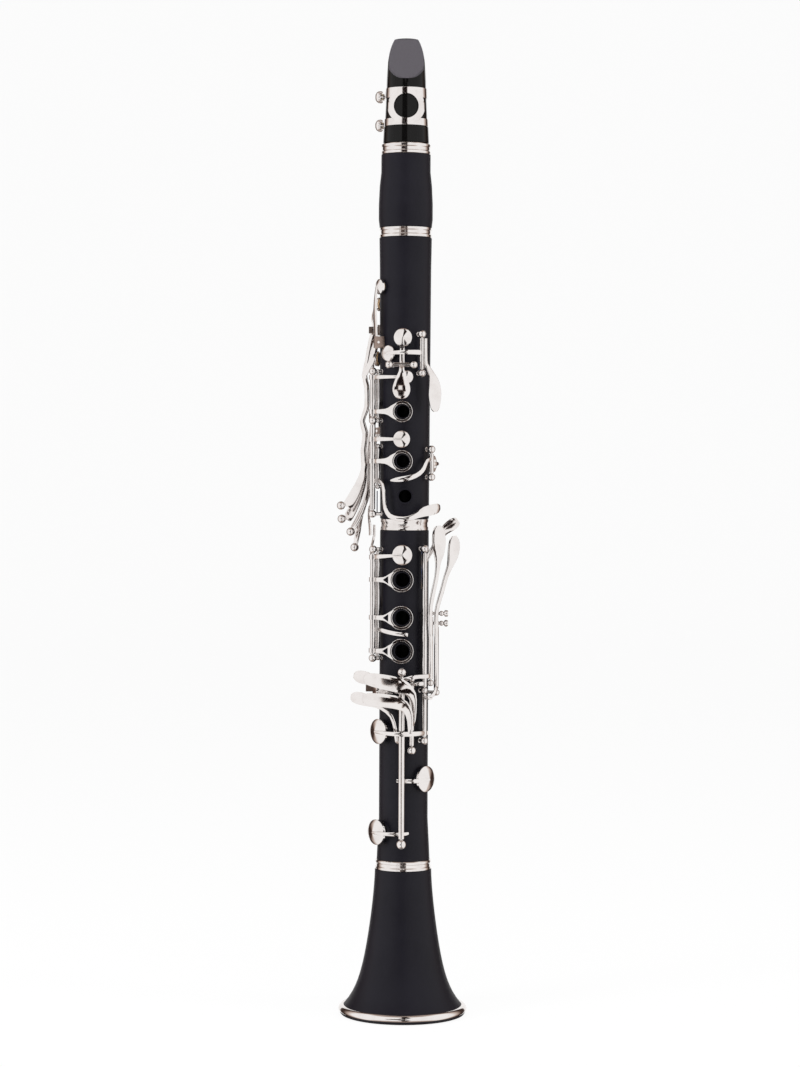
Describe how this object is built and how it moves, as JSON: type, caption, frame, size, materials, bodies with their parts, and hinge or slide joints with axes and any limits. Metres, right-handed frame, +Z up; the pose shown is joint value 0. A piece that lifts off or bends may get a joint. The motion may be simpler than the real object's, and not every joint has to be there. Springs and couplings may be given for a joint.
{
  "type": "clarinet",
  "caption": "Clarinet on its bell: black cylindrical body with a flared bell, beak mouthpiece with reed and ligature, and plated ring keys, levers and cups on ball posts.",
  "frame": {"origin": "centre of the flat face the bell stands on, on the bore's axis", "axes": "+Z up along the bore from the bell to the mouthpiece, -Y towards the player's audience, where the finger holes are, +X to the right seen from there"},
  "size_m": [0.0867, 0.0846, 0.643],
  "materials": {
    "body_black": "satin black moulded body with a fine brushed grain",
    "mouthpiece_black": "polished black, with a matt worn patch on the beak",
    "plated_keys": "bright nickel plate, polished",
    "plated_fittings": "nickel plate on turned rings and the ligature",
    "pad_skin": "tan skin pad",
    "cork": "waxed cork",
    "cane": "dry reed cane with long fibres",
    "spring_steel": "blued steel wire"
  },
  "bodies": {
    "stock": {"upper_joint": "body_black", "lower_joint": "body_black", "middle_ring": "plated_fittings", "tenon_corks": "cork", "bell": "body_black", "bell_rings": "plated_fittings", "thumb_rest": "plated_fittings", "thumb_rest_screws": "plated_keys", "bore_tubes": "plated_keys", "upper_posts": "plated_keys", "lower_posts": "plated_keys", "upper_rods": "plated_keys", "lower_rods": "plated_keys", "needle_springs": "spring_steel", "side_key_saddles": "plated_keys"},
    "headpiece": {"mouthpiece": "mouthpiece_black", "reed": "cane", "ligature": "plated_fittings", "barrel": "body_black", "barrel_rings": "plated_fittings"},
    "upper_screw": {"ligature_screw_upper": "plated_fittings"},
    "lower_screw": {"ligature_screw_lower": "plated_fittings"},
    "register": {"register_key": "plated_keys", "register_pad": "pad_skin"},
    "thumb_ring": {"thumb_ring_key": "plated_keys"},
    "first_ring": {"first_ring_key": "plated_keys", "first_ring_pad": "pad_skin"},
    "second_ring": {"second_ring_key": "plated_keys", "second_ring_pad": "pad_skin"},
    "throat_a": {"throat_a_key": "plated_keys", "throat_a_pad": "pad_skin"},
    "throat_gsharp": {"throat_gsharp_key": "plated_keys", "throat_gsharp_pad": "pad_skin"},
    "upper_trill": {"upper_trill_key": "plated_keys", "upper_trill_pad": "pad_skin"},
    "lower_trill": {"lower_trill_key": "plated_keys", "lower_trill_pad": "pad_skin"},
    "side_bflat": {"side_bflat_key": "plated_keys", "side_bflat_pad": "pad_skin"},
    "side_fsharp": {"side_fsharp_key": "plated_keys", "side_fsharp_pad": "pad_skin"},
    "csharp": {"csharp_gsharp_key": "plated_keys", "csharp_gsharp_pad": "pad_skin"},
    "sliver": {"sliver_eflat_key": "plated_keys", "sliver_eflat_pad": "pad_skin"},
    "lower_rings": {"lower_ring_key": "plated_keys", "lower_ring_pad": "pad_skin"},
    "fork": {"fork_b_key": "plated_keys", "fork_b_pad": "pad_skin"},
    "left_fsharp": {"left_fsharp_lever": "plated_keys"},
    "left_e": {"left_e_lever": "plated_keys"},
    "left_f": {"left_f_lever": "plated_keys"},
    "low_e": {"low_e_key": "plated_keys", "low_e_pad": "pad_skin"},
    "low_f": {"low_f_key": "plated_keys", "low_f_pad": "pad_skin"},
    "low_fsharp": {"low_fsharp_key": "plated_keys", "low_fsharp_pad": "pad_skin"},
    "low_aflat": {"low_aflat_key": "plated_keys", "low_aflat_pad": "pad_skin"}
  },
  "joints": [
    {"name": "tuning_slide", "type": "slide", "parent": "stock", "child": "headpiece", "axis": [0, 0, 1], "range_m": [0, 0.003]},
    {"name": "upper_screw_turn", "type": "hinge", "parent": "headpiece", "child": "upper_screw", "pos_m": [-0.006, 0.0193, 0.6055], "axis": [1, 0, 0], "continuous": true},
    {"name": "lower_screw_turn", "type": "hinge", "parent": "headpiece", "child": "lower_screw", "pos_m": [-0.006, 0.0193, 0.5867], "axis": [1, 0, 0], "continuous": true},
    {"name": "register_press", "type": "hinge", "parent": "stock", "child": "register", "pos_m": [0, 0.02088, 0.447], "axis": [-1, 0, 0], "range_deg": [0, 5], "stiffness_Nm_per_rad": 0.05, "springref_deg": -10},
    {"name": "thumb_ring_press", "type": "hinge", "parent": "stock", "child": "thumb_ring", "pos_m": [-0.01766, -0.00844, 0.402], "axis": [0, 0, -1], "range_deg": [0, 4], "stiffness_Nm_per_rad": 0.05, "springref_deg": -10},
    {"name": "first_ring_press", "type": "hinge", "parent": "stock", "child": "first_ring", "pos_m": [-0.021, -0.01004, 0.407], "axis": [0, 0, 1], "range_deg": [0, 4], "stiffness_Nm_per_rad": 0.05, "springref_deg": -10},
    {"name": "second_ring_press", "type": "hinge", "parent": "stock", "child": "second_ring", "pos_m": [-0.021, -0.01004, 0.36], "axis": [0, 0, 1], "range_deg": [0, 4], "stiffness_Nm_per_rad": 0.05, "springref_deg": -10},
    {"name": "throat_a_press", "type": "hinge", "parent": "stock", "child": "throat_a", "pos_m": [-0.00245, -0.02088, 0.4272], "axis": [1, 0, 0], "range_deg": [0, 6], "stiffness_Nm_per_rad": 0.05, "springref_deg": -10},
    {"name": "throat_gsharp_press", "type": "hinge", "parent": "stock", "child": "throat_gsharp", "pos_m": [0.0109, -0.0185, 0.4346], "axis": [0, 0, 1], "range_deg": [0, 5], "stiffness_Nm_per_rad": 0.05, "springref_deg": -10},
    {"name": "upper_trill_press", "type": "hinge", "parent": "stock", "child": "upper_trill", "pos_m": [-0.01889, -0.00841, 0.4422], "axis": [0.4067, -0.9135, 0], "range_deg": [0, 1.8], "stiffness_Nm_per_rad": 0.05, "springref_deg": -10},
    {"name": "lower_trill_press", "type": "hinge", "parent": "stock", "child": "lower_trill", "pos_m": [-0.02052, 0.00252, 0.4506], "axis": [-0.1219, -0.9925, 0], "range_deg": [0, 1.8], "stiffness_Nm_per_rad": 0.05, "springref_deg": -10},
    {"name": "side_bflat_press", "type": "hinge", "parent": "stock", "child": "side_bflat", "pos_m": [-0.01966, 0.00639, 0.3934], "axis": [-0.309, -0.9511, 0], "range_deg": [0, 2.6], "stiffness_Nm_per_rad": 0.05, "springref_deg": -10},
    {"name": "side_fsharp_press", "type": "hinge", "parent": "stock", "child": "side_fsharp", "pos_m": [-0.01651, 0.01244, 0.3846], "axis": [-0.6018, -0.7986, 0], "range_deg": [0, 2.6], "stiffness_Nm_per_rad": 0.05, "springref_deg": -10},
    {"name": "csharp_press", "type": "hinge", "parent": "stock", "child": "csharp", "pos_m": [-0.01766, -0.00844, 0.361], "axis": [0, 0, 1], "range_deg": [0, 4.2], "stiffness_Nm_per_rad": 0.05, "springref_deg": -10},
    {"name": "sliver_press", "type": "hinge", "parent": "stock", "child": "sliver", "pos_m": [0.0174, -0.01098, 0.3634], "axis": [0, 0, -1], "range_deg": [0, 4], "stiffness_Nm_per_rad": 0.05, "springref_deg": -10},
    {"name": "lower_ring_press", "type": "hinge", "parent": "stock", "child": "lower_rings", "pos_m": [-0.0205, -0.01009, 0.271], "axis": [0, 0, 1], "range_deg": [0, 4], "stiffness_Nm_per_rad": 0.05, "springref_deg": -10},
    {"name": "fork_press", "type": "hinge", "parent": "stock", "child": "fork", "pos_m": [-0.01718, -0.00846, 0.271], "axis": [0, 0, 1], "range_deg": [0, 4], "stiffness_Nm_per_rad": 0.05, "springref_deg": -10},
    {"name": "left_fsharp_press", "type": "hinge", "parent": "stock", "child": "left_fsharp", "pos_m": [0.0134, -0.01597, 0.261], "axis": [0, 0, 1], "range_deg": [0, 6.5], "stiffness_Nm_per_rad": 0.05, "springref_deg": -10},
    {"name": "left_e_press", "type": "hinge", "parent": "stock", "child": "left_e", "pos_m": [0.0174, -0.0145, 0.257], "axis": [0, 0, 1], "range_deg": [0, 6.5], "stiffness_Nm_per_rad": 0.05, "springref_deg": -10},
    {"name": "left_f_press", "type": "hinge", "parent": "stock", "child": "left_f", "pos_m": [0.0212, -0.01136, 0.249], "axis": [0, 0, 1], "range_deg": [0, 6.5], "stiffness_Nm_per_rad": 0.05, "springref_deg": -10},
    {"name": "low_e_press", "type": "hinge", "parent": "stock", "child": "low_e", "pos_m": [-0.0013, -0.02261, 0.171], "axis": [0, 0, -1], "range_deg": [0, 6.5], "stiffness_Nm_per_rad": 0.05, "springref_deg": -10},
    {"name": "low_f_press", "type": "hinge", "parent": "stock", "child": "low_f", "pos_m": [0.0134, -0.01597, 0.198], "axis": [0, 0, -1], "range_deg": [0, 6.5], "stiffness_Nm_per_rad": 0.05, "springref_deg": -10},
    {"name": "low_fsharp_press", "type": "hinge", "parent": "stock", "child": "low_fsharp", "pos_m": [0.0052, -0.01931, 0.199], "axis": [0, 0, -1], "range_deg": [0, 6.5], "stiffness_Nm_per_rad": 0.05, "springref_deg": -10},
    {"name": "low_aflat_press", "type": "hinge", "parent": "stock", "child": "low_aflat", "pos_m": [-0.0009, -0.01838, 0.1685], "axis": [0, 0, -1], "range_deg": [0, 6], "stiffness_Nm_per_rad": 0.05, "springref_deg": -10}
  ],
  "couplings": [
    {"joint": "thumb_ring_press", "follows": "first_ring_press", "ratio": 1},
    {"joint": "left_e_press", "follows": "low_e_press", "ratio": 1},
    {"joint": "left_f_press", "follows": "low_f_press", "ratio": 1},
    {"joint": "left_fsharp_press", "follows": "low_fsharp_press", "ratio": 1}
  ]
}
